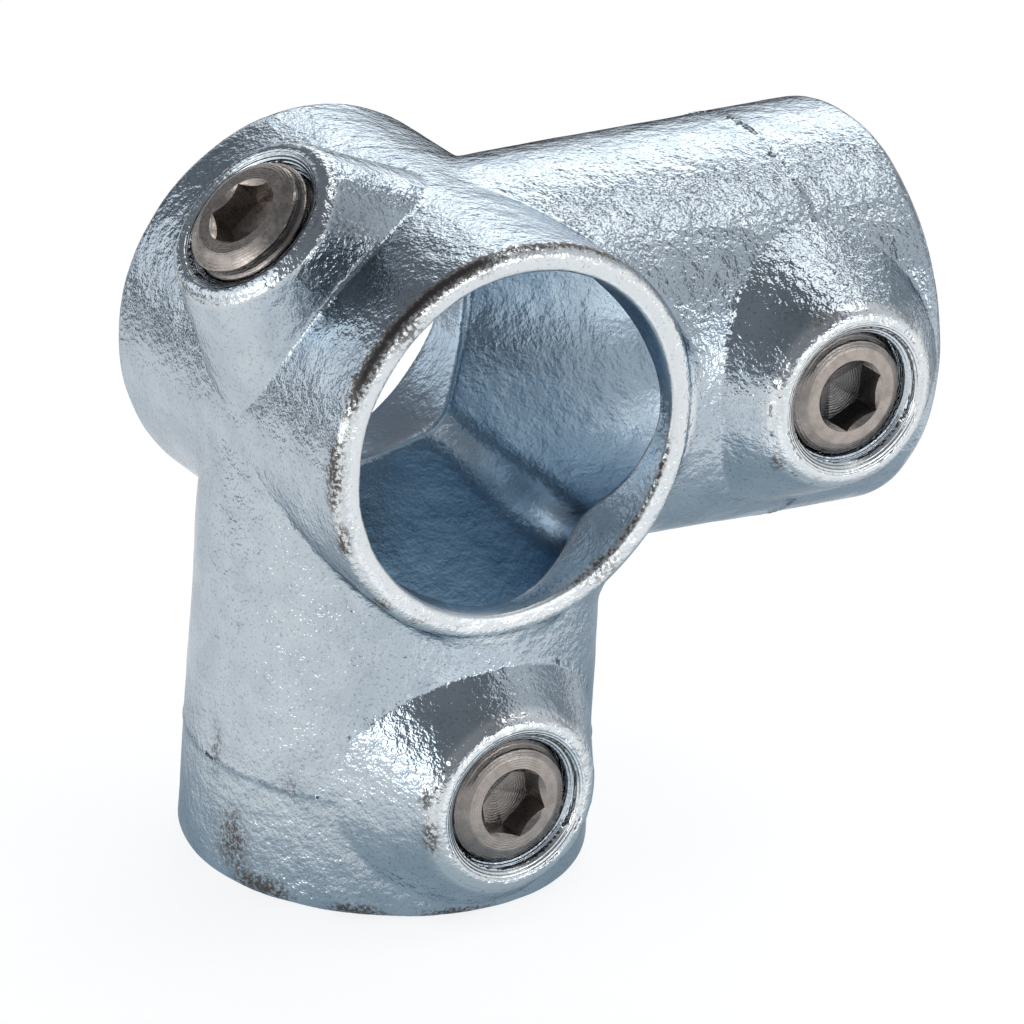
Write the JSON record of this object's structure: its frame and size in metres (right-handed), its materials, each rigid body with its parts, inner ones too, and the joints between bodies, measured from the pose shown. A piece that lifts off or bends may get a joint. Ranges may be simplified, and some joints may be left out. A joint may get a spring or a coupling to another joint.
{
  "type": "four-way tube connector",
  "caption": "Galvanised cast tube connector: a through sleeve with two sockets at right angles to it and to each other, each tube held by a hexagon-socket set screw.",
  "frame": {"origin": "the point where the axes of the three tubes cross, inside the through sleeve", "axes": "+Y along the through sleeve towards its back rim, +X out of the side socket, -Z out of the lower socket, on whose mouth the connector stands; the sleeve's set screw points up and to -X"},
  "size_m": [0.0927, 0.0575, 0.0928],
  "materials": {
    "galvanised_casting": "bright zinc galvanised over a fine cast grain, with brown-grey oxide on the rims",
    "screw_steel": "turned steel, warm grey, dark in the hexagon sockets"
  },
  "bodies": {
    "casting": {"body": "galvanised_casting"},
    "hub_screw": {"hub_set_screw": "screw_steel"},
    "side_screw": {"side_set_screw": "screw_steel"},
    "lower_screw": {"lower_set_screw": "screw_steel"}
  },
  "joints": [
    {"name": "hub_screw_travel", "type": "slide", "parent": "casting", "child": "hub_screw", "axis": [0.7071, 0, -0.7071], "range_m": [-0.0021, 0.0065]},
    {"name": "side_screw_travel", "type": "slide", "parent": "casting", "child": "side_screw", "axis": [0, 1, 0], "range_m": [-0.006, 0.0007]},
    {"name": "lower_screw_travel", "type": "slide", "parent": "casting", "child": "lower_screw", "axis": [0, 1, 0], "range_m": [-0.0055, 0.0012]}
  ]
}
